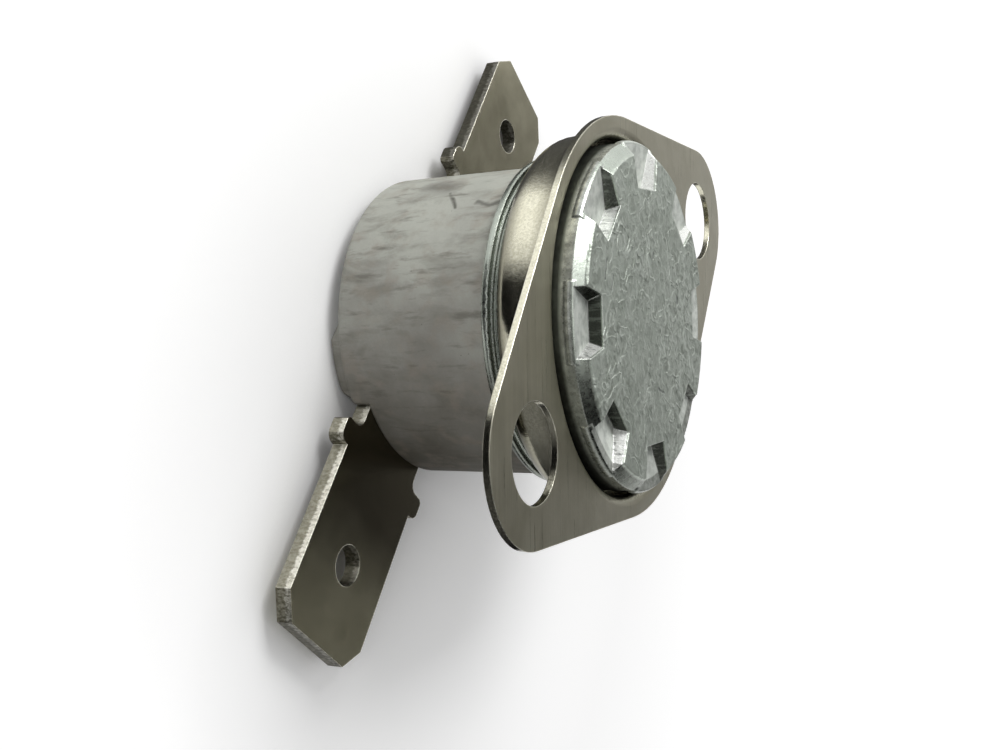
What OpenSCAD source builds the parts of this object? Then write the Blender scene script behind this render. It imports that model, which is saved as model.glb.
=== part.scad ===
// High limit thermostat: a snap-disc thermal cut-out in a ceramic body, with a turning bracket.
// Z points out of the sensing face. The origin lies midway between the two bracket holes,
// on the front plane of the bracket, and X runs along the line of the holes.

/* [Mounting bracket] */
// Distance between the two screw holes
hole_pitch = 24; // [23:0.5:30]
// Diameter of a screw hole
hole_d = 4.2; // [3.2:0.1:4.6]
// Radius of the bracket's rounded ends
end_r = 3.9; // [3.2:0.1:4.5]
// Width of the bracket across its middle
bracket_w = 19; // [18.6:0.1:22]
// Thickness of the bracket's sheet
sheet_t = 0.3; // [0.25:0.05:0.45]
// Inner radius of the bend between the flat sheet and the collar
fold_r = 0.2; // [0.1:0.05:0.3]
// Free space between the cap and the bracket that turns on it
turn_gap = 0.25; // [0.15:0.05:0.3]
// Free space between the bracket's rear edge and the cap's lip
lip_gap = 0.35; // [0.15:0.05:0.45]

/* [Sensing cap] */
// Diameter of the cap's head
cap_d = 16.4; // [16:0.1:16.8]
// Height of the sensing face above the bracket's front plane
cap_stand = 1.1; // [0.9:0.05:1.5]
// Depth of the head below the bracket's front plane
head_depth = 2.5; // [2.2:0.05:3]
// Width of the bevel round the sensing face
bevel_w = 0.6; // [0.4:0.05:0.7]
// Height of the bevel round the sensing face
bevel_h = 0.5; // [0.3:0.05:0.6]
// Rounding at the rear edge of the head
cap_corner_r = 0.6; // [0.3:0.05:0.7]
// Diameter of the skirt behind the head
skirt_d = 14.9; // [14.7:0.1:15.1]
// Wall thickness of the skirt
skirt_t = 0.3; // [0.25:0.05:0.4]
// Thickness of the cap's end wall
face_t = 1.25; // [1.2:0.05:1.4]
// Diameter of the lip rolled out at the rear end of the skirt
lip_d = 15.8; // [15.7:0.1:16.2]
// Length of the rolled lip along the axis
lip_h = 0.5; // [0.4:0.05:0.7]
// Depth of the ring crimped inwards to hold the ceramic
crimp_depth = 0.2; // [0.1:0.05:0.25]

/* [Stake pockets] */
// Number of pockets staked round the face
stake_count = 8; // [4:1:10]
// Direction of the first pocket
stake_turn = 20; // [0:1:45]
// Radius where a pocket begins
stake_in_r = 6; // [5.8:0.05:6.6]
// Width of a pocket's floor at its inner end
stake_in_w = 1.8; // [1.2:0.1:2.2]
// Width of a pocket's floor at the rim
stake_out_w = 2.9; // [2:0.1:3.1]
// Depth of a pocket at its inner end
stake_in_depth = 0.7; // [0.5:0.05:0.8]
// Depth of a pocket at the rim
stake_out_depth = 0.4; // [0.3:0.05:0.45]
// Slope of a pocket's side walls
stake_draft = 20; // [10:5:30]
// How far the staked metal bulges past the rim
spread = 0.1; // [0.05:0.05:0.15]
// How far it reaches past the pocket on each side
spread_side = 0.3; // [0.25:0.05:0.4]
// Rounding of that metal
spread_r = 0.3; // [0.25:0.05:0.35]

/* [Ceramic base] */
// Outer diameter of the ceramic body
body_d = 15; // [14.8:0.1:15.6]
// Length of the body behind the cap, to its rear rim
body_len = 7.8; // [7.5:0.05:12]
// Diameter of the cavity that holds the contacts
cavity_d = 11.2; // [11:0.1:11.6]
// Thickness of the floor that carries the rivets
floor_t = 2.05; // [1.6:0.05:3]
// Depth of the two seats for the terminals
seat_depth = 1.05; // [0.9:0.05:1.5]
// Width of a terminal seat
seat_w = 10.9; // [9:0.1:11.4]
// Height of the barrier and the stop lugs above the rear rim
lug_h = 0.6; // [0.4:0.05:1]
// Distance of the stop lugs' outer face from the body's side
lug_inset = 0.2; // [0.1:0.05:0.5]
// Thickness of the stop lugs
lug_t = 1.9; // [1.2:0.1:2.4]
// Rounding at the lugs' edges
lug_edge_r = 0.3; // [0.1:0.05:0.35]
// Rounding of a lug's end beside the terminal
lug_end_r = 1.1; // [0.4:0.1:1.3]
// Rounding of a lug's other end, above the rim
lug_tail_r = 0.5; // [0.2:0.05:0.55]
// Clearance between a lug and the terminal that it steadies
lug_gap = 0.15; // [0.1:0.05:0.3]
// Thickness of the barrier between the terminals
barrier_t = 1.8; // [1:0.1:2]
// Distance between the barrier and a terminal's inner end
barrier_gap = 0.35; // [0.2:0.05:0.5]
// Rounding at the rear rim
rim_r = 0.3; // [0.1:0.05:0.4]
// Radial clearance between the ceramic and the cap
fit_gap = 0.05; // [0.03:0.01:0.1]

/* [Terminals] */
// Direction of the terminals, from the line of the bracket holes
blade_turn = 24.75; // [0:0.25:90]
// Distance from the axis to a terminal's tip
tip_reach = 17.9; // [16:0.1:24]
// Width of the tab
tab_w = 6.4; // [6.2:0.05:6.6]
// Thickness of a terminal
tab_t = 0.8; // [0.5:0.05:0.85]
// Width of the neck that lies in the seat
neck_w = 5.3; // [4.8:0.1:5.6]
// Width across the two ears that stop a plug
ear_w = 7.7; // [7.2:0.1:8.4]
// Distance from the axis to the ears' inner edge
ear_in = 8.27; // [8:0.05:9]
// Length of the ears
ear_len = 1.2; // [1.1:0.05:1.6]
// Rounding of the ears' outer corners
ear_r = 0.5; // [0.2:0.05:0.55]
// Rounding between neck and ears
neck_r = 0.5; // [0.2:0.05:0.55]
// Cut of the tab's corners, across the tab
tip_cut_across = 0.95; // [0.4:0.05:1.4]
// Cut of the tab's corners, along the tab
tip_cut_along = 1.15; // [0.4:0.05:1.6]
// Diameter of the latch hole
latch_d = 1.9; // [1.4:0.1:2.2]
// Distance from the axis to the latch hole
latch_at = 13.95; // [12.5:0.05:14.5]

/* [Rivets] */
// Distance from the axis to a rivet
rivet_at = 3.2; // [3.1:0.05:3.25]
// Diameter of a rivet's shank
rivet_d = 1.8; // [1.4:0.1:2]
// Diameter of a rivet's heads
rivet_head_d = 2.6; // [2.3:0.1:2.7]
// Height of the formed head outside
rivet_head_h = 0.5; // [0.3:0.05:0.5]
// Clearance round a shank in its holes
rivet_gap = 0.05; // [0.03:0.01:0.1]

/* [Snap disc and pin] */
// Diameter of the snap disc
disc_d = 12.7; // [12.2:0.1:12.8]
// Thickness of the snap disc
disc_t = 0.2; // [0.15:0.05:0.25]
// Rise of the disc's middle above its rim
disc_rise = 0.25; // [0.15:0.05:0.3]
// Depth of the disc's seat below the cap's inner face
disc_seat = 0.6; // [0.55:0.05:0.7]
// Clearance round the disc's edge
disc_gap = 0.1; // [0.05:0.05:0.15]
// Width of the ledge that carries the disc's rim
ledge_w = 0.4; // [0.3:0.05:0.5]
// Free depth below the disc, where it snaps through
snap_depth = 0.45; // [0.4:0.05:0.5]
// Thickness of the guide plate between cap and ceramic
plate_t = 1.75; // [1.6:0.05:2]
// Diameter of the push pin
pin_d = 1.5; // [1.2:0.1:1.8]
// Radial clearance of the pin in its guide
pin_gap = 0.05; // [0.02:0.01:0.1]
// Bevel at the pin's ends
pin_edge = 0.15; // [0.05:0.05:0.25]

/* [Contacts] */
// Height of the moving leaf above the cavity floor
leaf_height = 2.7; // [2.4:0.1:3]
// Clearance between the strips and the cavity's wall
wall_gap = 0.4; // [0.3:0.05:0.5]
// Thickness of the spring leaf
leaf_t = 0.2; // [0.15:0.05:0.25]
// Width of the spring leaf
leaf_w = 3; // [2.4:0.1:3.2]
// Diameter of a contact button
contact_d = 2; // [1.6:0.1:2.2]
// Thickness of a contact button
contact_t = 0.4; // [0.3:0.05:0.5]
// Rounding at a contact's edge
contact_edge_r = 0.1; // [0.05:0.05:0.15]
// Distance from the axis to the contacts
contact_at = 2.6; // [2.4:0.05:3]
// Thickness of the fixed contact's carrier
carrier_t = 0.4; // [0.3:0.05:0.5]
// Diameter of a contact's riveted tail
tail_d = 1; // [0.8:0.1:1.1]

/* [Hidden] */
$fn = 96;

// Depth by which a cutter passes the face that it opens
cut = 1;
// Fineness of the wide arc of the snap disc
arc_fn = 720;

// Radii and levels of the cap
cap_r = cap_d / 2;
skirt_r = skirt_d / 2;
bore_r = skirt_r - skirt_t;
face_z = cap_stand;
bevel_z = face_z - bevel_h;
inner_z = face_z - face_t;
step_z = -head_depth;

// Bracket, drawn round the cap with one clearance
collar_in_r = cap_r + turn_gap;
collar_out_r = collar_in_r + sheet_t;
bend_in_r = cap_corner_r + turn_gap;
bend_out_r = bend_in_r + sheet_t;
bottom_z = step_z - turn_gap;
bracket_rear_z = bottom_z - sheet_t;
rear_hole_r = skirt_r + turn_gap;
bend_r0 = collar_in_r - bend_in_r;
bend_z0 = bottom_z + bend_in_r;
roll_r = fold_r + sheet_t;
roll_at = collar_in_r + roll_r;

// Lip behind the bracket
lip_r = lip_d / 2;
lip_z = bracket_rear_z - lip_gap;
lip_rear_z = lip_z - lip_h;
lip_mid_z = lip_z - lip_h / 2;
crimp_r = crimp_depth + skirt_t / 2;
crimp_z = (step_z + lip_z) / 2;

// Ceramic
body_r = body_d / 2;
nose_r = bore_r - fit_gap;
shoulder_z = lip_rear_z;
rear_z = shoulder_z - body_len;
seat_z = rear_z + seat_depth;
lug_z = rear_z - lug_h;
floor_z = seat_z + floor_t;
cavity_r = cavity_d / 2;
nose_z = inner_z - plate_t;
lug_out_r = body_r - lug_inset;
lug_in_r = lug_out_r - lug_t;
lug_side = neck_w / 2 + lug_gap;
lug_tail = seat_w / 2;

// Terminals
tab_z = seat_z - tab_t;
neck_in = barrier_t / 2 + barrier_gap;
ear_out = ear_in + ear_len;
ear_half = ear_w / 2;
neck_half = neck_w / 2;
tab_half = tab_w / 2;

// Rivets
rivet_hole_d = rivet_d + 2 * rivet_gap;
dome_r = rivet_head_h;

// Disc, guide plate and pin
disc_r = disc_d / 2;
seat_rim_z = inner_z - disc_seat;
disc_pocket_r = disc_r + disc_gap;
ledge_in_r = disc_r - ledge_w;
snap_z = seat_rim_z - snap_depth;
disc_sphere_r = (disc_r * disc_r + disc_rise * disc_rise) / (2 * disc_rise);
pin_r = pin_d / 2;
pin_top_z = seat_rim_z;

// Contacts
leaf_z = floor_z + leaf_height;
leaf_low_z = leaf_z - leaf_t;
touch_z = leaf_z + contact_t;
carrier_low_z = touch_z + contact_t;
carrier_top_z = carrier_low_z + carrier_t;
strip_out = cavity_r - wall_gap;
tail_head_h = contact_t / 2;
tail_head_d = tail_d + contact_t;
tail_gap = rivet_gap;
strip_bend_r = leaf_t;
carrier_bend_r = carrier_t / 2;

// Quarter of a ring in the plane, from the first axis to the second
module quarter_ring(inner, outer) {
    intersection() {
        difference() {
            circle(r = outer);
            circle(r = inner);
        }
        square(outer + cut);
    }
}

// Square corner that is left when a circle is taken from it, for a hollow rounding
module corner_fill(radius) {
    difference() {
        square(radius);
        translate([radius, radius]) circle(r = radius);
    }
}

// Rectangle between two corners
module box2(x0, y0, x1, y1) {
    translate([x0, y0]) square([x1 - x0, y1 - y0]);
}

// Straight cylinder between two levels
module rod(r, z0, z1) {
    translate([0, 0, z0]) cylinder(r = r, h = z1 - z0);
}

// Outline of the bracket: a middle circle and two round ends joined by tangents
module bracket_outline() {
    half = hole_pitch / 2;
    mid_r = bracket_w / 2;
    lean = acos((mid_r - end_r) / half);
    touch_mid = [mid_r * cos(lean), mid_r * sin(lean)];
    touch_end = [half + end_r * cos(lean), end_r * sin(lean)];
    circle(r = mid_r);
    for (side = [-1, 1]) translate([side * half, 0]) circle(r = end_r);
    polygon([touch_mid, touch_end, [touch_end[0], -touch_end[1]], [touch_mid[0], -touch_mid[1]],
             [-touch_mid[0], -touch_mid[1]], [-touch_end[0], -touch_end[1]],
             [-touch_end[0], touch_end[1]], [-touch_mid[0], touch_mid[1]]]);
}

// What a rounding takes from the outer corner of a section
module corner_cut(radius) {
    difference() {
        square(radius + cut);
        circle(r = radius);
    }
}

// Section of the collar that is drawn backwards from the opening, with its rolled edges
module collar_section() {
    box2(collar_in_r, bend_z0, collar_out_r, -roll_r);
    translate([bend_r0, bend_z0]) rotate(-90) quarter_ring(bend_in_r, bend_out_r);
    box2(rear_hole_r - cut, bracket_rear_z, bend_r0, bottom_z);
    translate([roll_at, -roll_r]) mirror([1, 0]) quarter_ring(fold_r, roll_r);
    box2(roll_at, -sheet_t, roll_at + sheet_t, 0);
}

module mounting_bracket() {
    color([0.62, 0.60, 0.53]) {
        difference() {
            translate([0, 0, -sheet_t]) linear_extrude(sheet_t) bracket_outline();
            rod(roll_at, -sheet_t - cut, cut);
            for (side = [-1, 1]) {
                translate([side * hole_pitch / 2, 0, 0]) rod(hole_d / 2, -sheet_t - cut, cut);
            }
        }
        rotate_extrude() difference() {
            collar_section();
            box2(0, bracket_rear_z - cut, rear_hole_r, cut);
        }
    }
}

// Half section of the head and the lip: the head's rear edge is rounded and the lip's front edge trimmed
module head_and_lip_section() {
    difference() {
        union() {
            box2(0, step_z, cap_r, bevel_z);
            box2(0, lip_rear_z, lip_r - lip_h / 2, lip_z);
            translate([lip_r - lip_h / 2, lip_mid_z]) circle(r = lip_h / 2);
        }
        translate([cap_r - cap_corner_r, step_z + cap_corner_r]) rotate(-90) corner_cut(cap_corner_r);
    }
    polygon([[0, bevel_z], [cap_r, bevel_z], [cap_r - bevel_w, face_z], [0, face_z]]);
}

// Half section of the cap without its pockets, with the skirt's wall joined to the end wall
module cap_section() {
    difference() {
        union() {
            head_and_lip_section();
            box2(0, lip_mid_z, skirt_r, inner_z);
        }
        difference() {
            box2(-cut, lip_rear_z - cut, bore_r, inner_z);
            translate([bore_r + skirt_t / 2, crimp_z]) circle(r = crimp_r);
        }
        translate([skirt_r + skirt_t / 2, crimp_z]) circle(r = crimp_r);
    }
}

// Space on the inner side of a pocket's side wall, which leans outwards to the face
module stake_side() {
    big = 2 * cap_d;
    flare = atan((stake_out_w - stake_in_w) / (cap_r - stake_in_r) / 2);
    translate([stake_in_r, stake_in_w / 2, face_z - stake_in_depth]) rotate(flare)
        rotate([-stake_draft, 0, 0]) translate([-big, -big, -big]) cube([2 * big, big, 2 * big]);
}

// One pocket from a steep inner wall to the rim, with a floor that rises outwards and leaning sides
module stake_pocket() {
    out_r = cap_r + cut;
    slope = (stake_in_depth - stake_out_depth) / (cap_r - stake_in_r);
    floor_in_z = face_z - stake_in_depth;
    intersection() {
        rotate([90, 0, 0]) translate([0, 0, -cap_r]) linear_extrude(cap_d)
            polygon([[stake_in_r, floor_in_z], [out_r, floor_in_z + slope * (out_r - stake_in_r)],
                     [out_r, face_z + cut], [stake_in_r, face_z + cut]]);
        stake_side();
        mirror([0, 1, 0]) stake_side();
    }
}

// Metal pressed out past the rim round the end of one pocket
module stake_spread() {
    bulge_z = bevel_z - spread_r / 2;
    half = stake_out_w / 2 + spread_side;
    intersection() {
        rotate_extrude() translate([cap_r + spread - spread_r, bulge_z]) circle(r = spread_r);
        translate([cap_r / 2, -half, bulge_z - cut]) cube([cap_r, 2 * half, 2 * cut]);
    }
}

module sensing_cap() {
    color([0.66, 0.68, 0.66]) difference() {
        union() {
            rotate_extrude() cap_section();
            for (k = [0 : stake_count - 1]) rotate(stake_turn + k * 360 / stake_count) stake_spread();
        }
        for (k = [0 : stake_count - 1]) rotate(stake_turn + k * 360 / stake_count) stake_pocket();
    }
}

// Half section of the ceramic from its nose to the rear rim
module base_section() {
    difference() {
        union() {
            box2(0, shoulder_z, nose_r, nose_z);
            box2(0, rear_z, body_r - rim_r, shoulder_z);
            box2(0, rear_z + rim_r, body_r, shoulder_z);
            translate([body_r - rim_r, rear_z + rim_r]) circle(r = rim_r);
        }
        translate([bore_r + skirt_t / 2, crimp_z]) circle(r = crimp_r + fit_gap);
        box2(-cut, floor_z, cavity_r, nose_z + cut);
    }
}

// Section of a stop lug: flush with the body up to the rim, set back with round edges above it
module lug_section() {
    box2(lug_in_r, rear_z, body_r - rim_r, seat_z);
    box2(lug_in_r, rear_z + rim_r, body_r, seat_z);
    translate([body_r - rim_r, rear_z + rim_r]) circle(r = rim_r);
    box2(lug_in_r + lug_edge_r, lug_z, lug_out_r - lug_edge_r, seat_z);
    box2(lug_in_r, lug_z + lug_edge_r, lug_out_r, seat_z);
    for (r = [lug_in_r + lug_edge_r, lug_out_r - lug_edge_r]) {
        translate([r, lug_z + lug_edge_r]) circle(r = lug_edge_r);
    }
}

// Side view of a stop lug, with a round end beside the terminal and another above the rim
module lug_side_view() {
    difference() {
        box2(-lug_tail - cut, lug_z, -lug_side, seat_z);
        translate([-lug_side - lug_end_r, lug_z + lug_end_r]) rotate(-90) corner_cut(lug_end_r);
        box2(-lug_tail - 2 * cut, lug_z - cut, -lug_tail, rear_z);
        translate([lug_tail_r - lug_tail, lug_z + lug_tail_r]) rotate(180) corner_cut(lug_tail_r);
    }
}

// Stop lug beside one terminal
module stop_lug() {
    intersection() {
        rotate_extrude() lug_section();
        rotate([90, 0, 90]) linear_extrude(body_r + cut) lug_side_view();
    }
}

// Barrier between the terminals, a bar across the seat with round ends
module barrier() {
    translate([0, 0, lug_z]) linear_extrude(seat_z - lug_z) {
        square([barrier_t, seat_w], center = true);
        for (side = [-1, 1]) translate([0, side * seat_w / 2]) circle(r = barrier_t / 2);
    }
}

module ceramic_base() {
    color([0.72, 0.71, 0.68]) rotate(blade_turn) difference() {
        union() {
            difference() {
                rotate_extrude() base_section();
                translate([-body_r - cut, -seat_w / 2, rear_z - cut])
                    cube([2 * (body_r + cut), seat_w, seat_depth + cut]);
            }
            barrier();
            for (side = [0, 180]) rotate(side) stop_lug();
        }
        for (side = [-1, 1]) translate([side * rivet_at, 0, 0]) {
            rod(rivet_hole_d / 2, lug_z - cut, floor_z + cut);
        }
    }
}

// One ear of a terminal, with a small rounding inside and a larger one outside
module ear() {
    small_r = ear_r / 2;
    box2(ear_in, 0, ear_out, ear_half - ear_r);
    box2(ear_in, 0, ear_out - ear_r, ear_half - small_r);
    box2(ear_in + small_r, 0, ear_out - ear_r, ear_half);
    translate([ear_in + small_r, ear_half - small_r]) circle(r = small_r);
    translate([ear_out - ear_r, ear_half - ear_r]) circle(r = ear_r);
    translate([ear_in, neck_half]) rotate(90) corner_fill(neck_r);
}

// Flat outline of a terminal along X
module terminal_outline() {
    difference() {
        union() {
            box2(neck_in + neck_r, -neck_half, ear_out, neck_half);
            box2(neck_in, neck_r - neck_half, ear_out, neck_half - neck_r);
            for (side = [0, 1]) mirror([0, side]) {
                translate([neck_in + neck_r, neck_half - neck_r]) circle(r = neck_r);
                ear();
            }
            polygon([[ear_out, -tab_half], [tip_reach - tip_cut_along, -tab_half],
                     [tip_reach, tip_cut_across - tab_half], [tip_reach, tab_half - tip_cut_across],
                     [tip_reach - tip_cut_along, tab_half], [ear_out, tab_half]]);
        }
        translate([latch_at, 0]) circle(d = latch_d);
        translate([rivet_at, 0]) circle(d = rivet_hole_d);
    }
}

module terminal(turn) {
    color([0.55, 0.54, 0.48]) rotate(blade_turn + turn) translate([0, 0, tab_z]) linear_extrude(tab_t)
        terminal_outline();
}

module lower_terminal() {
    terminal(180);
}

module upper_terminal() {
    terminal(0);
}

// Rivet through terminal, ceramic floor and the foot of a strip inside
module rivet(turn, foot_t) {
    head_r = rivet_head_d / 2;
    top_z = floor_z + foot_t;
    color([0.70, 0.66, 0.52]) rotate(blade_turn + turn) translate([rivet_at, 0, 0]) rotate_extrude() {
        box2(0, tab_z, rivet_d / 2, top_z);
        box2(0, top_z, head_r, top_z + rivet_head_h);
        box2(0, tab_z - rivet_head_h, head_r - dome_r, tab_z);
        intersection() {
            translate([head_r - dome_r, tab_z]) circle(r = dome_r);
            box2(0, tab_z - rivet_head_h, head_r, tab_z);
        }
    }
}

module lower_rivet() {
    rivet(180, carrier_t);
}

module upper_rivet() {
    rivet(0, leaf_t);
}

// Dished disc between two spheres of nearly the same centre
module bimetal_disc() {
    centre_z = seat_rim_z + disc_rise - disc_sphere_r;
    color([0.55, 0.47, 0.38]) rotate_extrude() intersection() {
        translate([0, centre_z]) difference() {
            circle(r = disc_sphere_r + disc_t, $fn = arc_fn);
            circle(r = disc_sphere_r, $fn = arc_fn);
        }
        box2(0, seat_rim_z - disc_rise, disc_r, inner_z);
    }
}

module guide_plate() {
    color([0.80, 0.76, 0.66]) rotate_extrude() difference() {
        box2(pin_r + pin_gap, nose_z, nose_r, inner_z);
        box2(0, seat_rim_z, disc_pocket_r, inner_z + cut);
        box2(0, snap_z, ledge_in_r, inner_z + cut);
    }
}

module push_pin() {
    color([0.86, 0.84, 0.80]) rotate_extrude()
        polygon([[0, leaf_z], [pin_r - pin_edge, leaf_z], [pin_r, leaf_z + pin_edge],
                 [pin_r, pin_top_z - pin_edge], [pin_r - pin_edge, pin_top_z], [0, pin_top_z]]);
}

// Side view of a strip with a foot on the floor, a riser near the wall and a level top
module bent_strip(thick, bend, foot_in, top_z, top_in) {
    outer = thick + bend;
    low_mid = floor_z + outer;
    box2(foot_in, floor_z, strip_out - outer, floor_z + thick);
    translate([strip_out - outer, low_mid]) rotate(-90) quarter_ring(bend, outer);
    box2(strip_out - thick, low_mid, strip_out, top_z - outer);
    translate([strip_out - outer, top_z - outer]) quarter_ring(bend, outer);
    box2(top_in, top_z - thick, strip_out - outer, top_z);
}

module contact_arm() {
    foot_in = rivet_at - rivet_head_d / 2;
    reach = contact_at + contact_d / 2;
    color([0.72, 0.50, 0.30]) rotate(blade_turn) difference() {
        translate([0, leaf_w / 2, 0]) rotate([90, 0, 0]) linear_extrude(leaf_w)
            bent_strip(leaf_t, strip_bend_r, foot_in, leaf_z, -reach);
        translate([rivet_at, 0, 0]) rod(rivet_hole_d / 2, floor_z - cut, floor_z + cut);
        translate([-contact_at, 0, 0]) rod(tail_d / 2 + tail_gap, leaf_low_z - cut, leaf_z + cut);
    }
}

module contact_carrier() {
    foot_in = rivet_at - rivet_head_d / 2;
    top_in = contact_at - contact_d / 2;
    color([0.76, 0.64, 0.36]) rotate(blade_turn + 180) difference() {
        translate([0, leaf_w / 2, 0]) rotate([90, 0, 0]) linear_extrude(leaf_w)
            bent_strip(carrier_t, carrier_bend_r, foot_in, carrier_top_z, top_in);
        translate([rivet_at, 0, 0]) rod(rivet_hole_d / 2, floor_z - cut, floor_z + cut);
        translate([contact_at, 0, 0])
            rod(tail_d / 2 + tail_gap, carrier_low_z - cut, carrier_top_z + cut);
    }
}

// Contact button with a riveted tail through a strip, upright from its touching face
module contact_button(strip_t) {
    button_r = contact_d / 2;
    rotate_extrude() {
        box2(0, 0, button_r - contact_edge_r, contact_t);
        box2(0, contact_edge_r, button_r, contact_t);
        translate([button_r - contact_edge_r, contact_edge_r]) circle(r = contact_edge_r);
        box2(0, contact_t, tail_d / 2, contact_t + strip_t);
        box2(0, contact_t + strip_t, tail_head_d / 2, contact_t + strip_t + tail_head_h);
    }
}

module fixed_contact() {
    color([0.80, 0.80, 0.78]) rotate(blade_turn + 180) translate([contact_at, 0, touch_z])
        contact_button(carrier_t);
}

module moving_contact() {
    color([0.80, 0.80, 0.78]) rotate(blade_turn + 180) translate([contact_at, 0, touch_z])
        mirror([0, 0, 1]) contact_button(leaf_t);
}

ceramic_base();
sensing_cap();
mounting_bracket();
bimetal_disc();
guide_plate();
push_pin();
contact_arm();
moving_contact();
contact_carrier();
fixed_contact();
lower_terminal();
upper_terminal();
lower_rivet();
upper_rivet();
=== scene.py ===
"""Looks of the high limit thermostat: finishes, floor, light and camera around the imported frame."""

import math

import bpy
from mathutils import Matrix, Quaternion, Vector

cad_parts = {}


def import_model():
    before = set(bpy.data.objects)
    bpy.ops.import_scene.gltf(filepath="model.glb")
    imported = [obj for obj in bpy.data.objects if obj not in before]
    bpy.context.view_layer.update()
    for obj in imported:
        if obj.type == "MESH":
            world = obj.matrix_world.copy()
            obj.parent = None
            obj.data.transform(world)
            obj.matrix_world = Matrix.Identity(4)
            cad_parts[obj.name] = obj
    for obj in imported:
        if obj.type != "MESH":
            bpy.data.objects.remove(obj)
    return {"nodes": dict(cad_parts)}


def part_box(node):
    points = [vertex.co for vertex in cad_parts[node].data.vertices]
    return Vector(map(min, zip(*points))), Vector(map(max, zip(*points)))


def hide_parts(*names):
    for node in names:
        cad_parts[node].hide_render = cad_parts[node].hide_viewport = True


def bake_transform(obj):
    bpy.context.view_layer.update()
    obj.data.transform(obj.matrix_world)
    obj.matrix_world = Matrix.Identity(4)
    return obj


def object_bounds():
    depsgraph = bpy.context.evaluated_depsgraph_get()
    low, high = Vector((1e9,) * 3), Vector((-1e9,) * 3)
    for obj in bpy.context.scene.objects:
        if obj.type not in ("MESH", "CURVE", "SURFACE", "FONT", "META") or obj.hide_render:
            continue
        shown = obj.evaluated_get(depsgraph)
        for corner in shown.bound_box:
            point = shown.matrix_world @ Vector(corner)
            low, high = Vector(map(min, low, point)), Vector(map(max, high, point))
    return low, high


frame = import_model()
cad_box = [list(corner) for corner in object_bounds()]
nodes = frame["nodes"]

# Millimetres to Blender's metres, and back for the shaders' coordinates
MM = 0.001
PER_METRE = 1000.0

# Heights in millimetres: the sensing face, the terminals' front and the floor. The bracket's front is at 0
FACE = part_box("sensing_cap")[1][2] * PER_METRE
TAB_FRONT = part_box("lower_terminal")[1][2] * PER_METRE
GROUND = cad_box[0][2] * PER_METRE

# Cap: radius of the head and of the flat face inside its bevel, depth of the bevel,
# depth of the head behind the bracket's front, and greatest depth of the pockets
HEAD_RADIUS = 8.2
FLAT_RADIUS = HEAD_RADIUS - 0.6
BEVEL_DEPTH = 0.5
HEAD_DEPTH = 2.5
POCKET_DEPTH = 0.7
# Radius of the ceramic body, and thickness of the bracket's sheet
BODY_RADIUS = 7.5
SHEET = 0.3

# Camera, fitted to the photograph's outline
CAMERA_PLACE = Vector((-47.553, 23.047, 20.491)) * MM
CAMERA_TARGET = Vector((-3.787, -0.918, -5.525)) * MM
CAMERA_ROLL = 89.178
CAMERA_LENS = 42.541

# Direction in which the part's upper side points in the photograph; painted light and shade follow it
UP = Vector((0.486, 0.874, 0.013))
# Angles from X: the brushed lines of the bracket's face, the terminals, the cap's scratched side
BRUSH_TURN = 61.0
BLADE_TURN = 24.75
SCRATCHED_TURN = 151.3

# Light of the room on the part, and the floor's own white beside the light that falls on it
AMBIENT = 0.16
FLOOR_GLOW = 0.47
# Side of the floor, and the radii between which it fades to plain white
FLOOR_SIDE = 3000.0
FADE_START = 35.0
FADE_END = 110.0
# Shade of the floor near the part: how far it reaches and how fast it deepens
SHADE_REACH = 18.0
SHADE_POWER = 1.6
# Rays that look for the floor's shade, and for the edges that are rounded
SHADE_RAYS = 8
EDGE_RAYS = 6

# Radius of the cards on the wall, outer radius of those on the floor, and their height above it
WALL_RADIUS = 110.0
RING_RADIUS = 70.0
RING_LIFT = 0.1

# Cracks and a dark patch on the ceramic: two places, width, soft edge and share
CRACKS = (((-1.15, 7.4, -7.1), (-2.4, 7.1, -6.35), 0.07, 0.10, 1.0),
          ((-0.1, 7.5, -8.4), (-0.55, 7.4, -7.4), 0.35, 0.75, 0.6),
          ((-2.1, 7.2, -5.3), (-2.4, 7.1, -4.6), 0.08, 0.16, 0.8),
          ((-2.4, 7.1, -4.6), (-2.2, 7.2, -4.1), 0.08, 0.16, 0.8))
# Pits and nicks in the cap's face, in the same form
PITS = (((-3.7, 4.6, FACE), (-4.3, 4.0, FACE), 0.07, 0.08, 1.0),
        ((-3.4, 3.7, FACE), (-3.9, 3.2, FACE), 0.06, 0.08, 1.0),
        ((3.6, -1.0, FACE), (3.7, -0.8, FACE), 0.20, 0.08, 1.0),
        ((1.6, 2.4, FACE), (1.7, 2.5, FACE), 0.14, 0.08, 1.0),
        ((-1.0, -3.3, FACE), (-0.4, -3.9, FACE), 0.05, 0.08, 1.0))


def grey(level):
    """An opaque grey."""
    return (level, level, level, 1.0)


def heading(degrees):
    """The level direction at an angle from X."""
    return Vector((math.cos(math.radians(degrees)), math.sin(math.radians(degrees)), 0.0))


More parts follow.
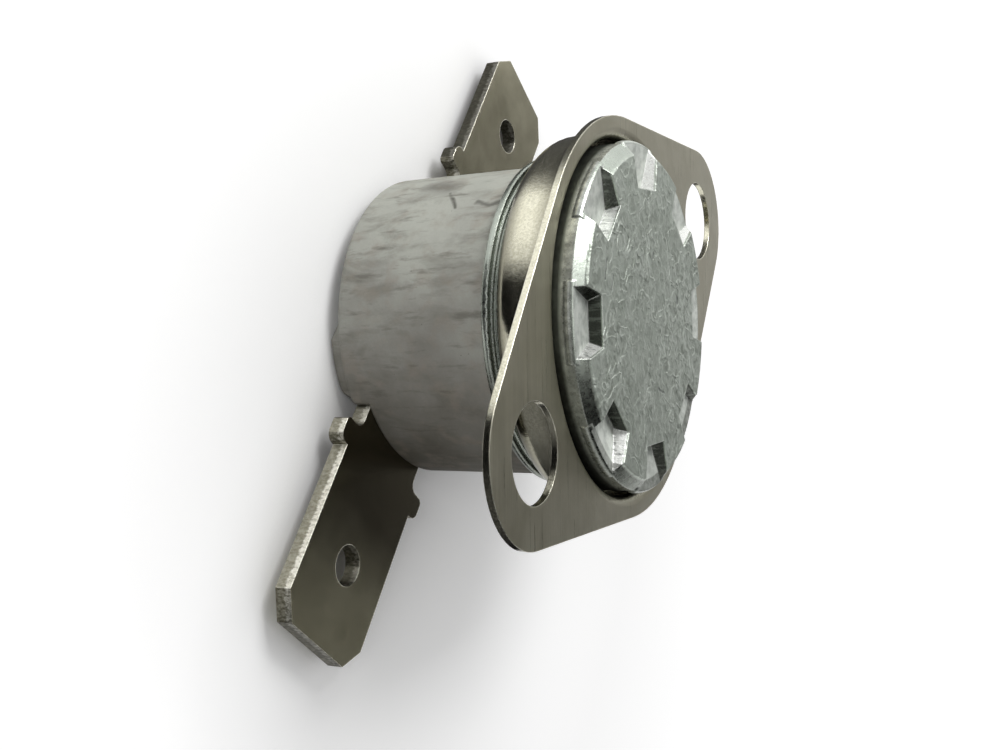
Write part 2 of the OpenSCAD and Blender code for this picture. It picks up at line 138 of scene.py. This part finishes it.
class Finish:
    """A material whose nodes are added with one short call each. Lengths are in millimetres."""

    def __init__(self, name):
        self.material = bpy.data.materials.new(name)
        self.material.use_nodes = True
        self.tree = self.material.node_tree
        self.tree.nodes.clear()
        self.surface = self.tree.nodes.new("ShaderNodeBsdfPrincipled")
        out = self.tree.nodes.new("ShaderNodeOutputMaterial")
        self.tree.links.new(self.surface.outputs[0], out.inputs["Surface"])
        texture = self.tree.nodes.new("ShaderNodeTexCoord")
        self.place = self.vector("SCALE", texture.outputs["Object"], scale=PER_METRE)
        self.normal = texture.outputs["Normal"]
        self.colour = None

    def feed(self, socket, value):
        """Links a socket or sets a plain value."""
        if isinstance(value, bpy.types.NodeSocket):
            self.tree.links.new(value, socket)
        else:
            socket.default_value = value

    def vector(self, operation, first, second=None, scale=None):
        """A sum with vectors."""
        node = self.tree.nodes.new("ShaderNodeVectorMath")
        node.operation = operation
        self.feed(node.inputs[0], first)
        if second is not None:
            self.feed(node.inputs[1], second)
        if scale is not None:
            self.feed(node.inputs["Scale"], scale)
        return node.outputs["Value" if operation in ("DOT_PRODUCT", "LENGTH") else "Vector"]

    def along(self, vector, direction):
        """How far a vector reaches in a direction."""
        return self.vector("DOT_PRODUCT", vector, tuple(direction))

    def part(self, vector, axis):
        """One coordinate of a vector."""
        node = self.tree.nodes.new("ShaderNodeSeparateXYZ")
        self.feed(node.inputs[0], vector)
        return node.outputs["XYZ".index(axis)]

    def math(self, operation, *values):
        """A sum of one or two numbers."""
        node = self.tree.nodes.new("ShaderNodeMath")
        node.operation = operation
        for socket, value in zip(node.inputs, values):
            self.feed(socket, value)
        return node.outputs[0]

    def times(self, first, *others):
        """The product of several numbers."""
        for other in others:
            first = self.math("MULTIPLY", first, other)
        return first

    def plus(self, first, second):
        """The sum of two numbers."""
        return self.math("ADD", first, second)

    def larger(self, first, second):
        """The larger of two numbers."""
        return self.math("MAXIMUM", first, second)

    def rest(self, share):
        """What a share leaves of 1."""
        return self.math("SUBTRACT", 1.0, share)

    def band(self, value, low, high, to_low=0.0, to_high=1.0):
        """The value, remapped from low..high and held at the ends."""
        node = self.tree.nodes.new("ShaderNodeMapRange")
        for socket, number in zip(node.inputs, (value, low, high, to_low, to_high)):
            self.feed(socket, number)
        return node.outputs["Result"]

    def scaled(self, x, y, z):
        """The place, scaled along each axis: a smaller number draws a pattern out."""
        return self.vector("MULTIPLY", self.place, (x, y, z))

    def turned(self, degrees, scale):
        """The place, turned about Z and scaled along its new axes."""
        node = self.tree.nodes.new("ShaderNodeMapping")
        node.vector_type = "TEXTURE"
        self.feed(node.inputs["Vector"], self.place)
        node.inputs["Rotation"].default_value = (0.0, 0.0, math.radians(degrees))
        return self.vector("MULTIPLY", node.outputs["Vector"], scale)

    def wobble(self, amount, scale):
        """The place, shaken by a noise of an amount."""
        node = self.tree.nodes.new("ShaderNodeTexNoise")
        self.feed(node.inputs["Vector"], self.place)
        node.inputs["Scale"].default_value = scale
        shake = self.vector("SUBTRACT", node.outputs["Color"], (0.5, 0.5, 0.5))
        return self.vector("ADD", self.place, self.vector("SCALE", shake, scale=2.0 * amount))

    def noise(self, scale, detail=4.0, roughness=0.55, distortion=0.0, vector=None):
        """Cloudy noise; scale is in features a millimetre."""
        node = self.tree.nodes.new("ShaderNodeTexNoise")
        self.feed(node.inputs["Vector"], self.place if vector is None else vector)
        node.inputs["Scale"].default_value = scale
        node.inputs["Detail"].default_value = detail
        node.inputs["Roughness"].default_value = roughness
        node.inputs["Distortion"].default_value = distortion
        return node.outputs["Fac"]

    def dots(self, scale):
        """Distance to scattered points; scale is in points a millimetre."""
        node = self.tree.nodes.new("ShaderNodeTexVoronoi")
        self.feed(node.inputs["Vector"], self.place)
        node.inputs["Scale"].default_value = scale
        return node.outputs["Distance"]

    def mark(self, place, first, second, width, soft):
        """A mark along the line between two places, 1 inside its width and 0 past its soft edge."""
        line = Vector(second) - Vector(first)
        reach = self.vector("SUBTRACT", place, first)
        share = self.band(self.along(reach, line), 0.0, line.length_squared)
        foot = self.vector("SCALE", tuple(line), scale=share)
        distance = self.vector("LENGTH", self.vector("SUBTRACT", reach, foot))
        return self.band(distance, width / 2.0, width / 2.0 + soft, 1.0, 0.0)

    def marks(self, place, rows):
        """Several marks; a row holds two places, a width, a soft edge and a share."""
        strongest = 0.0
        for first, second, width, soft, share in rows:
            mark = self.times(self.mark(place, first, second, width, soft), share)
            strongest = self.larger(strongest, mark)
        return strongest

    def ramp(self, value, *stops):
        """Colours along a value; stops are (value, colour)."""
        node = self.tree.nodes.new("ShaderNodeValToRGB")
        self.feed(node.inputs["Fac"], value)
        elements = node.color_ramp.elements
        while len(elements) < len(stops):
            elements.new(0.5)
        for element, (position, colour) in zip(elements, stops):
            element.position = position
            element.color = colour
        return node.outputs["Color"]

    def mix(self, share, first, second, blend="MIX"):
        """Two colours mixed by share."""
        node = self.tree.nodes.new("ShaderNodeMix")
        node.data_type = "RGBA"
        node.blend_type = blend
        # The node has sockets of the same name for numbers and vectors, so these go by index
        self.feed(node.inputs[0], share)
        self.feed(node.inputs[6], first)
        self.feed(node.inputs[7], second)
        return node.outputs[2]

    def cover(self, share, colour):
        """Lays a colour over the finish's own by share."""
        self.colour = self.mix(share, self.colour, colour)

    def shade(self, share, value, low, high, level):
        """Darkens the finish's colour by share, to a level where the value is low."""
        tone = self.ramp(value, (low, grey(level)), (high, grey(1.0)))
        self.colour = self.mix(share, self.colour, tone, blend="MULTIPLY")

    def rounded(self, radius):
        """The surface's direction with its edges rounded by a radius."""
        node = self.tree.nodes.new("ShaderNodeBevel")
        node.samples = EDGE_RAYS
        node.inputs["Radius"].default_value = radius * MM
        return node.outputs[0]

    def wear_and_glint(self, rounded):
        """Where an edge is near, from 0 on flat ground to 1."""
        flat = self.tree.nodes.new("ShaderNodeNewGeometry").outputs["True Normal"]
        return self.band(self.vector("DOT_PRODUCT", rounded, flat), 0.985, 0.90)

    def bump(self, height, depth, normal=None):
        """The surface's direction with a bump of a depth."""
        node = self.tree.nodes.new("ShaderNodeBump")
        self.feed(node.inputs["Height"], height)
        node.inputs["Distance"].default_value = depth * MM
        if normal is not None:
            self.feed(node.inputs["Normal"], normal)
        return node.outputs["Normal"]

    def set(self, **values):
        """Sets or links the surface's sockets, named with underscores for spaces."""
        for name, value in values.items():
            self.feed(self.surface.inputs[name.replace("_", " ")], value)

    def on(self, *names):
        """Gives the finish to CAD nodes."""
        for name in names:
            for place in nodes[name].material_slots:
                place.material = self.material


def steatite():
    """Unglazed whitish ceramic: painted shade that deepens downwards, smudges, streaks, cracks and specks.
    """
    f = Finish("steatite")
    # Lighter towards the upper side, as painted shade that deepens downwards, varied in clouds
    cloud = f.noise(0.35, detail=4.0, roughness=0.5)
    high = f.band(f.along(f.place, UP), -BODY_RADIUS - 0.5, BODY_RADIUS + 0.5)
    lit_and_clean = f.plus(high, f.band(cloud, 0.3, 0.7, -0.10, 0.22))
    f.colour = f.ramp(lit_and_clean, (0.05, (0.138, 0.127, 0.104, 1)), (0.35, (0.245, 0.237, 0.210, 1)),
                      (0.65, (0.360, 0.362, 0.325, 1)), (0.95, (0.440, 0.450, 0.400, 1)))
    # Dark smudges, warm stains and streaks along the axis
    smear = f.noise(0.9, detail=5.0, roughness=0.6, distortion=0.4, vector=f.scaled(1.0, 1.0, 0.4))
    f.cover(f.band(smear, 0.48, 0.66, 0.0, 0.50), (0.150, 0.143, 0.118, 1))
    apart = f.vector("ADD", f.place, (7.0, 3.0, 5.0))
    warm = f.noise(1.1, detail=3.0, roughness=0.5, vector=apart)
    f.cover(f.band(warm, 0.50, 0.66, 0.0, 0.35), (0.300, 0.262, 0.215, 1))
    streak = f.noise(2.4, detail=4.0, roughness=0.6, vector=f.scaled(1.0, 1.0, 0.22))
    f.cover(f.band(streak, 0.57, 0.70, 0.0, 0.50), (0.110, 0.102, 0.082, 1))
    # Cracks, then specks in loose groups
    f.cover(f.times(f.marks(f.wobble(0.16, 1.6), CRACKS), 0.8), (0.060, 0.056, 0.045, 1))
    speck = f.times(f.band(f.dots(2.2), 0.075, 0.035), f.band(f.noise(0.7), 0.54, 0.6))
    f.cover(f.times(speck, 0.65), (0.07, 0.062, 0.05, 1))
    # Fine grain over all
    grain = f.noise(9.0, detail=4.0, roughness=0.6)
    f.shade(0.12, grain, 0.3, 0.7, 0.5)
    f.set(Base_Color=f.colour, Roughness=f.band(smear, 0.3, 0.7, 0.62, 0.80), Specular_IOR_Level=0.3)
    waves = f.bump(f.noise(0.6, detail=2.0), 0.10, normal=f.rounded(0.2))
    f.set(Normal=f.bump(grain, 0.008, normal=waves))
    f.on("ceramic_base")


def bracket_nickel():
    """Nickel plate: the drawn cup is bright with painted dark reflections in its bends, and the flat face
    is finely brushed and painted darker as shade.
    """
    f = Finish("plated_steel")
    height = f.part(f.place, "Z")
    facing = f.math("ABSOLUTE", f.part(f.normal, "Z"))
    flat = f.times(f.band(height, -SHEET - 0.18, -SHEET - 0.08), f.band(facing, 0.5, 0.9))
    # The flat face, brushed in fine lines, and painted darker than the cup's same plating as shade
    lines = f.noise(1.0, detail=5.0, roughness=0.65, vector=f.turned(BRUSH_TURN, (0.12, 7.0, 1.0)))
    hairs = f.noise(1.0, detail=3.0, roughness=0.6, vector=f.turned(BRUSH_TURN, (0.35, 22.0, 1.0)))
    cloud = f.noise(0.4, detail=3.0)
    f.colour = f.ramp(cloud, (0.3, (0.405, 0.384, 0.282, 1)), (0.7, (0.480, 0.458, 0.352, 1)))
    f.shade(0.30, lines, 0.35, 0.65, 0.6)
    # The drawn cup behind it, with painted dark reflections where it rolls back from the face and where it
    # turns in behind
    grit = f.noise(9.0, detail=4.0, roughness=0.7)
    cup = f.ramp(grit, (0.35, (0.58, 0.56, 0.43, 1)), (0.65, (0.80, 0.78, 0.64, 1)))
    f.colour = f.mix(flat, cup, f.colour)
    dark_roll_reflection = f.times(f.band(height, -1.3, -0.7, 0.0, 0.65), f.band(height, -SHEET - 0.02, -SHEET - 0.12))
    dark_turn_reflection = f.band(height, -1.9, -2.6, 0.0, 0.85)
    f.cover(f.larger(dark_roll_reflection, dark_turn_reflection), (0.14, 0.13, 0.09, 1))
    # Bright edges, partly wear and partly painted highlight, and painted shade on the cut edge at the lower
    # end
    rounded = f.rounded(0.07)
    f.cover(f.times(f.wear_and_glint(rounded), f.band(grit, 0.4, 0.6, 0.25, 0.8)), (0.88, 0.86, 0.76, 1))
    cut = f.times(f.band(facing, 0.5, 0.2), f.band(height, -SHEET - 0.06, -SHEET - 0.01))
    shaded_low_cut = f.times(f.band(f.along(f.place, UP), -4.5, -6.0), cut)
    f.cover(f.times(shaded_low_cut, f.band(grit, 0.35, 0.65, 0.90, 0.60)), (0.050, 0.047, 0.036, 1))
    # Shine and relief of the face and of the cup
    f.set(Base_Color=f.colour, Metallic=1.0)
    rough_face = f.band(lines, 0.3, 0.7, 0.26, 0.36)
    rough_cup = f.band(f.noise(1.5), 0.3, 0.7, 0.13, 0.20)
    f.set(Roughness=f.plus(rough_cup, f.times(flat, f.math("SUBTRACT", rough_face, rough_cup))))
    waves = f.bump(f.noise(0.6, detail=3.0), 0.025, normal=rounded)
    grains = f.bump(f.times(grit, f.rest(flat)), 0.004, normal=waves)
    f.set(Normal=f.bump(f.times(hairs, flat), 0.006, normal=grains))
    f.on("mounting_bracket")


def cap_face(f, face):
    """The flat face's colour with squiggles, dull patches and pits; gives their relief."""
    # Long raised squiggles, finer marks and the pits
    swirl = f.noise(0.90, detail=1.5, roughness=0.5, distortion=0.7, vector=f.wobble(0.45, 0.9))
    ridges = f.band(f.math("ABSOLUTE", f.math("SUBTRACT", swirl, 0.5)), 0.0, 0.080, 1.0, 0.0)
    finer = f.noise(2.4, detail=3.0, roughness=0.6, distortion=0.8)
    patchy = f.times(face, f.band(f.noise(0.45, detail=2.0), 0.40, 0.60, 0.45, 1.0))
    raised_and_highlit = f.times(ridges, patchy)
    pits = f.marks(f.wobble(0.10, 3.0), PITS)
    # The colour under them, then each of them, with the raised squiggles painted lighter as a highlight
    cloud = f.noise(0.6, detail=5.0, roughness=0.6)
    f.colour = f.ramp(cloud, (0.3, (0.42, 0.465, 0.405, 1)), (0.7, (0.51, 0.555, 0.495, 1)))
    f.cover(f.times(raised_and_highlit, 0.30), (0.60, 0.64, 0.59, 1))
    f.cover(f.times(f.band(finer, 0.46, 0.61), patchy, 0.80), (0.24, 0.27, 0.225, 1))
    f.cover(f.times(pits, 0.6), (0.10, 0.11, 0.10, 1))
    return f.math("SUBTRACT", f.plus(raised_and_highlit, f.times(finer, face, 1.4)), f.times(pits, 0.8))


def cap_pockets(f, height, radius, high):
    """The pockets' scuffed floors, and walls painted light where they face up and painted shade elsewhere;
    gives floors, lit walls and scratches.
    """
    upright = f.part(f.normal, "Z")
    lowest = FACE - POCKET_DEPTH
    sunk = f.times(f.band(height, FACE - 0.05, FACE - 0.12), f.band(height, lowest - 0.10, lowest - 0.04))
    # Floors
    floors = f.times(sunk, f.band(upright, 0.93, 0.98), f.band(radius, HEAD_RADIUS, HEAD_RADIUS - 0.1))
    struck = f.noise(2.0, detail=5.0, roughness=0.65)
    struck = f.ramp(struck, (0.35, (0.46, 0.49, 0.45, 1)), (0.60, (0.74, 0.77, 0.72, 1)))
    f.cover(f.times(floors, 0.9), struck)
    # Walls: painted light where they look up in the photograph, more so near its top, and painted shade
    # elsewhere
    steep = f.band(f.math("ABSOLUTE", upright), 0.62, 0.45)
    walls = f.times(sunk, steep, f.band(radius, HEAD_RADIUS - 0.05, HEAD_RADIUS - 0.15))
    facing_light = f.plus(f.along(f.normal, UP), f.band(high, 3.0, 6.0, 0.0, 0.5))
    shaded_walls = f.times(walls, f.band(facing_light, 0.25, 0.05))
    lit_walls = f.math("SUBTRACT", walls, shaded_walls)
    f.cover(lit_walls, (0.84, 0.85, 0.82, 1))
    # Scrapes along the axis, on the painted-light walls of one side and on all painted-shade ones
    scrape = f.noise(4.5, detail=3.0, roughness=0.6, vector=f.scaled(1.0, 1.0, 0.12))
    scratched = f.times(lit_walls, f.band(f.along(f.place, heading(SCRATCHED_TURN)), -1.0, 2.0))
    f.cover(f.times(scratched, f.band(scrape, 0.44, 0.34, 0.0, 0.75)), (0.12, 0.13, 0.12, 1))
    f.cover(f.times(shaded_walls, f.band(scrape, 0.62, 0.5, 0.75, 0.95)), (0.035, 0.037, 0.031, 1))
    return floors, lit_walls, f.times(scrape, scratched)


def cap_side(f, height, radius, high, scuff):
    """The dented rim, the side in painted shade and the skirt; gives rim, gap shade and skirt."""
    # The upright rim under the bevel, and painted shade on the lower side of rim and bevel
    outside = f.band(radius, HEAD_RADIUS - 0.20, HEAD_RADIUS - 0.08)
    top = FACE - BEVEL_DEPTH
    rim = f.times(outside, f.band(height, top + 0.02, top - 0.05), f.band(height, -0.05, 0.15))
    shaded_low_edge = f.times(f.band(high, -1.0, -3.0), f.band(radius, FLAT_RADIUS + 0.06, FLAT_RADIUS + 0.12))
    f.cover(f.times(shaded_low_edge, f.band(scuff, 0.35, 0.65, 0.85, 0.5)), (0.10, 0.105, 0.09, 1))
    dented = f.noise(2.5, detail=4.0)
    dented = f.ramp(dented, (0.35, (0.22, 0.23, 0.21, 1)), (0.65, (0.48, 0.50, 0.46, 1)))
    f.cover(f.times(rim, f.band(shaded_low_edge, 0.0, 1.0, 1.0, 0.35)), dented)
    # Painted shade on the side below the bracket's front, in the gap, and the skirt behind the head
    shade_patches = f.band(f.noise(1.5), 0.3, 0.7, 0.80, 0.95)
    gap_shade = f.times(f.band(height, 0.15, -0.05), outside, shade_patches)
    f.cover(gap_shade, (0.035, 0.036, 0.030, 1))
    skirt = f.band(height, -HEAD_DEPTH - 0.2, -HEAD_DEPTH - 0.5)
    f.cover(f.times(skirt, f.band(f.noise(1.2), 0.35, 0.65, 0.10, 0.30)), (0.20, 0.205, 0.185, 1))
    return rim, gap_shade, skirt


def cap_aluminium():
    """Stamped aluminium: a scuffed face, scraped pockets with painted light and shade on their walls, a
    dented rim and a side in painted shade.
    """
    f = Finish("cap_aluminium")
    height = f.part(f.place, "Z")
    radius = f.vector("LENGTH", f.scaled(1.0, 1.0, 0.0))
    high = f.along(f.place, UP)
    face = f.band(height, FACE - 0.12, FACE - 0.04)
    scuff = f.noise(4.0, detail=6.0, roughness=0.7)
    relief = cap_face(f, face)
    floors, lit_walls, scratches = cap_pockets(f, height, radius, high)
    rounded = f.rounded(0.09)
    # Bright edges, partly wear and partly painted highlight
    f.cover(f.times(f.wear_and_glint(rounded), 0.40), (0.90, 0.91, 0.88, 1))
    rim, gap_shade, skirt = cap_side(f, height, radius, high, scuff)
    dull = f.larger(floors, f.times(f.larger(lit_walls, rim), 0.85))
    # Scuffed floors, the walls painted light and the rim mirror less than the rest
    f.set(Base_Color=f.colour, Metallic=f.band(dull, 0.0, 1.0, 1.0, 0.35))
    rough = f.plus(f.band(scuff, 0.3, 0.7, 0.22, 0.34), f.times(face, 0.14))
    f.set(Roughness=f.plus(rough, f.times(f.larger(gap_shade, floors), 0.25)))
    pressed = f.bump(relief, 0.032, normal=rounded)
    scraped = f.bump(scratches, 0.06, normal=pressed)
    f.set(Normal=f.bump(f.times(scuff, f.band(skirt, 0.0, 1.0, 1.0, 0.2)), 0.010, normal=scraped))
    f.on("sensing_cap")


def terminal_nickel():
    """Rolled nickel plate on the tabs, with grainy cut edges painted bright in front as a highlight, and a
    painted dark reflection near the body with faint tarnish.
    """
    f = Finish("plated_brass")
    blade = heading(180.0 + BLADE_TURN)
    lines = f.noise(1.0, detail=5.0, roughness=0.6, vector=f.turned(BLADE_TURN, (0.15, 5.0, 5.0)))
    cloud = f.noise(0.5, detail=5.0, roughness=0.6)
    side = f.band(f.math("ABSOLUTE", f.part(f.normal, "Z")), 0.4, 0.1)
    # Flat sides, rolled along the blade
    f.colour = f.ramp(cloud, (0.3, (0.410, 0.385, 0.262, 1)), (0.7, (0.500, 0.475, 0.338, 1)))
    f.shade(0.08, lines, 0.35, 0.65, 0.7)
    # Cut edges: painted highlight in front, darker behind, and a painted dark reflection where they face
    # along the blade
    grain = f.noise(7.0, detail=5.0, roughness=0.7, vector=f.scaled(1.0, 1.0, 0.6))
    edge = f.ramp(grain, (0.38, (0.26, 0.25, 0.19, 1)), (0.62, (0.46, 0.44, 0.36, 1)))
    height = f.plus(f.part(f.place, "Z"), f.band(grain, 0.3, 0.7, -0.08, 0.08))
    painted_edge_highlight = f.ramp(grain, (0.36, (0.55, 0.53, 0.43, 1)), (0.56, (0.96, 0.94, 0.84, 1)))
    edge = f.mix(f.band(height, TAB_FRONT - 0.35, TAB_FRONT - 0.23), edge, painted_edge_highlight)
    cut = f.times(side, f.band(f.math("ABSOLUTE", f.along(f.normal, blade)), 0.35, 0.45))
    edge = f.mix(f.times(cut, f.band(grain, 0.40, 0.60, 0.92, 0.55)), edge, (0.060, 0.056, 0.038, 1))
    f.cover(side, edge)
    # Painted dark reflection near the body, strongest on the lower tab, with faint heat tarnish on both
    # tabs
    dark_reflection_and_tarnish = f.band(f.along(f.place, blade), 11.4, 15.0, 0.90, 0.0)
    low = f.band(f.along(f.place, UP), 2.0, -2.0, 0.30, 1.0)
    f.cover(f.times(dark_reflection_and_tarnish, low, f.rest(side)), (0.090, 0.076, 0.048, 1))
    # Bright edges, partly wear and partly painted highlight
    rounded = f.rounded(0.07)
    shine = f.times(f.wear_and_glint(rounded), f.rest(cut))
    f.cover(f.times(shine, f.band(grain, 0.35, 0.6, 0.2, 0.85)), (0.90, 0.88, 0.78, 1))
    f.set(Base_Color=f.colour, Metallic=1.0)
    f.set(Roughness=f.plus(f.band(cloud, 0.3, 0.7, 0.18, 0.24), f.times(side, 0.18)))
    f.set(Normal=f.bump(f.times(grain, side), 0.008, normal=rounded))
    f.on("lower_terminal", "upper_terminal")


def inner_metal(name, dark, light, roughness, *names):
    """Rolled or turned metal of the pieces inside and behind."""
    f = Finish(name)
    f.set(Base_Color=f.ramp(f.noise(1.2, detail=4.0), (0.3, dark), (0.7, light)), Metallic=1.0)
    grain = f.noise(6.0, detail=4.0, vector=f.turned(BLADE_TURN, (0.2, 3.0, 1.0)))
    f.set(Roughness=f.band(grain, 0.3, 0.7, roughness, roughness + 0.12), Normal=f.bump(grain, 0.006))
    f.on(*names)


def inner_metals():
    """Brass of the rivets and the strip, bimetal of the disc, spring copper and contact silver."""
    inner_metal("rivet_brass", (0.50, 0.45, 0.30, 1), (0.64, 0.58, 0.42, 1), 0.3,
                "lower_rivet", "upper_rivet")
    inner_metal("bimetal", (0.40, 0.35, 0.28, 1), (0.52, 0.46, 0.38, 1), 0.35, "bimetal_disc")
    inner_metal("spring_copper", (0.58, 0.36, 0.22, 1), (0.70, 0.46, 0.30, 1), 0.3, "contact_arm")
    inner_metal("brass_strip", (0.60, 0.47, 0.25, 1), (0.72, 0.58, 0.33, 1), 0.3, "contact_carrier")
    inner_metal("silver", (0.70, 0.70, 0.68, 1), (0.80, 0.80, 0.78, 1), 0.22,
                "fixed_contact", "moving_contact")


def guide_ceramic():
    """Cream ceramic of the guide plate and the pin."""
    f = Finish("guide_ceramic")
    grain = f.noise(7.0, detail=5.0)
    f.set(Base_Color=f.ramp(f.noise(0.9), (0.3, (0.60, 0.57, 0.49, 1)), (0.7, (0.70, 0.67, 0.59, 1))))
    f.set(Roughness=f.band(grain, 0.3, 0.7, 0.5, 0.65), Normal=f.bump(grain, 0.01))
    f.on("guide_plate", "push_pin")


def spring_leaf():
    """A copy of the contact arm, which takes the place of the arm it hides."""
    arm = bpy.data.objects.new("spring_leaf", nodes["contact_arm"].data.copy())
    bpy.context.collection.objects.link(arm)
    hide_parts("contact_arm")
    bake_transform(arm)


def shown(tree):
    """1 for rays of the camera, of gloss and of glass, which see the white background."""
    ray = tree.nodes.new("ShaderNodeLightPath")
    seen = ray.outputs["Is Camera Ray"]
    for kind in ("Is Glossy Ray", "Is Transmission Ray"):
        either = tree.nodes.new("ShaderNodeMath")
        either.operation = "MAXIMUM"
        tree.links.new(seen, either.inputs[0])
        tree.links.new(ray.outputs[kind], either.inputs[1])
        seen = either.outputs[0]
    return seen


def floor():
    """A pale floor at the part's lowest point, white but for the shade near the part."""
    bpy.ops.mesh.primitive_plane_add(size=FLOOR_SIDE * MM, location=(0.0, 0.0, GROUND * MM))
    plane = bpy.context.object
    plane.name = "floor"
    f = Finish("floor")
    f.set(Base_Color=f.ramp(f.noise(0.004), (0.3, grey(0.80)), (0.7, grey(0.82))), Roughness=0.9)
    f.set(Specular_IOR_Level=0.0, Emission_Color=grey(1.0))
    away = f.band(f.vector("LENGTH", f.place), FADE_START, FADE_END, FLOOR_GLOW, 1.0)
    hidden = f.tree.nodes.new("ShaderNodeAmbientOcclusion")
    hidden.samples = SHADE_RAYS
    hidden.inputs["Distance"].default_value = SHADE_REACH * MM
    shade = f.math("POWER", hidden.outputs["AO"], SHADE_POWER)
    f.set(Emission_Strength=f.times(shown(f.tree), away, shade))
    plane.data.materials.append(f.material)


def polar(azimuth, elevation, radius):
    """A place at a radius, in a direction in degrees."""
    place = heading(azimuth) * math.cos(math.radians(elevation))
    place.z = math.sin(math.radians(elevation))
    return place * radius


def card(name, rows):
    """A painted reflection: a glowing card that only reflections show; rows of places in millimetres, each
    with its grey level.
    """
    wide = len(rows[0])
    spots = [spot for row in rows for spot in row]
    faces = [(i * wide + k, i * wide + k + 1, (i + 1) * wide + k + 1, (i + 1) * wide + k)
             for i in range(len(rows) - 1) for k in range(wide - 1)]
    mesh = bpy.data.meshes.new(name)
    mesh.from_pydata([place * MM for place, level in spots], [], faces)
    levels = mesh.attributes.new("level", "FLOAT", "POINT")
    levels.data.foreach_set("value", [level for place, level in spots])
    painted_reflection = bpy.data.materials.new(name)
    painted_reflection.use_nodes = True
    tree = painted_reflection.node_tree
    tree.nodes.clear()
    level = tree.nodes.new("ShaderNodeAttribute")
    level.attribute_name = "level"
    glow = tree.nodes.new("ShaderNodeEmission")
    out = tree.nodes.new("ShaderNodeOutputMaterial")
    tree.links.new(level.outputs["Fac"], glow.inputs["Strength"])
    tree.links.new(glow.outputs[0], out.inputs["Surface"])
    mesh.materials.append(painted_reflection)
    sheet = bpy.data.objects.new(name, mesh)
    bpy.context.collection.objects.link(sheet)
    sheet.visible_camera = False
    sheet.visible_diffuse = False
    sheet.visible_transmission = False
    sheet.visible_shadow = False


def wall_card(name, elevations, *stops):
    """A bowed card round the part; stops are (azimuth, level)."""
    card(name, [[(polar(azimuth, elevation, WALL_RADIUS), level) for elevation in elevations]
                for azimuth, level in stops])


def floor_card(name, *stops):
    """A ring-shaped card just above the floor; stops are (azimuth, level, inner radius)."""
    lift = Vector((0.0, 0.0, GROUND + RING_LIFT))
    card(name, [[(polar(azimuth, 0.0, radius) + lift, level) for radius in (near, RING_RADIUS)]
                for azimuth, level, near in stops])


def cards():
    """Painted reflections: glowing cards for the walls and the floor round the part, which only its metal
    mirrors.
    """
    # Over the far side, mirrored in the cap's face and the upper terminal, the bracket, the lower terminal
    wall_card("card_front", (14, 22, 26), (-70, 0.10), (-45, 0.12), (-32, 0.18), (-20, 0.22), (-5, 0.32))
    wall_card("card_middle", (26, 29.2),
              (-70, 0.14), (-45, 0.20), (-38, 0.34), (-30, 0.55), (-20, 0.28), (-5, 0.32))
    wall_card("card_left", (29.2, 38, 54), (-75, 0.22), (-56, 0.21), (-52, 0.18), (-49, 0.11),
              (-46, 0.045), (-43.5, 0.01), (-36.5, 0.01), (-34.5, 0.10), (-32, 0.34), (-24, 0.34),
              (-18, 0.26), (-5, 0.32))
    # Dark, below the part as the photograph shows it, and behind the camera
    wall_card("card_under", (18, 36, 54, 72),
              (-150, 0.03), (-130, 0.02), (-110, 0.02), (-90, 0.02), (-75, 0.03))
    wall_card("card_behind", (3, 20, 38, 55),
              (115, 0.04), (135, 0.03), (155, 0.03), (175, 0.03), (195, 0.04))
    # On the floor, on the camera's side and on the far one: near the body, or past the lower tab's tip
    near = 10.0
    past = 19.5
    floor_card("card_low", (112, 0.98, near), (119, 0.80, near), (125, 0.35, near), (131, 0.03, near),
               (139, 0.01, near), (150, 0.01, near), (162, 0.02, past), (174, 0.10, past),
               (190, 0.16, past), (210, 0.16, past), (230, 0.08, past), (250, 0.02, past),
               (265, 0.02, past))
    floor_card("card_side", (-45, 0.06, near), (-20, 0.07, near), (0, 0.08, near), (20, 0.08, near),
               (40, 0.09, near), (54, 0.10, near), (63, 0.13, near), (70, 0.30, near), (76, 0.70, near),
               (82, 0.98, near))


def area_light(name, direction, distance, size, power):
    """A square soft light that looks at the part from a direction; distance and size are in millimetres."""
    light = bpy.data.lights.new(name, "AREA")
    light.size = size * MM
    light.energy = power
    lamp = bpy.data.objects.new(name, light)
    towards = Vector(direction).normalized()
    lamp.location = towards * distance * MM
    lamp.rotation_mode = "QUATERNION"
    lamp.rotation_quaternion = (-towards).to_track_quat("-Z", "Y")
    bpy.context.collection.objects.link(lamp)


def world():
    """White to the camera and in reflections, plain grey light on the rest."""
    sky = bpy.data.worlds.new("studio")
    sky.use_nodes = True
    bpy.context.scene.world = sky
    tree = sky.node_tree
    level = tree.nodes.new("ShaderNodeMapRange")
    tree.links.new(shown(tree), level.inputs["Value"])
    level.inputs["To Min"].default_value = AMBIENT
    level.inputs["To Max"].default_value = 1.0
    tree.links.new(level.outputs[0], tree.nodes["Background"].inputs["Strength"])
    tree.nodes["Background"].inputs["Color"].default_value = grey(1.0)


def camera():
    """The photograph's viewpoint."""
    lens = bpy.data.cameras.new("camera")
    lens.lens = CAMERA_LENS
    lens.sensor_width = 36.0
    lens.clip_start = 1.0 * MM
    lens.clip_end = 10.0
    eye = bpy.data.objects.new("camera", lens)
    eye.location = CAMERA_PLACE
    look = (CAMERA_TARGET - CAMERA_PLACE).to_track_quat("-Z", "Y")
    eye.rotation_mode = "QUATERNION"
    eye.rotation_quaternion = look @ Quaternion((0.0, 0.0, 1.0), math.radians(CAMERA_ROLL))
    bpy.context.collection.objects.link(eye)
    bpy.context.scene.camera = eye


steatite()
bracket_nickel()
cap_aluminium()
terminal_nickel()
guide_ceramic()
inner_metals()
spring_leaf()
floor()
area_light("key", (0.30, 0.85, 0.85), distance=160.0, size=90.0, power=0.21)
area_light("fill", (-0.80, 0.62, 0.33), distance=200.0, size=70.0, power=0.10)
cards()
world()
camera()

bpy.context.scene.view_settings.view_transform = "Standard"
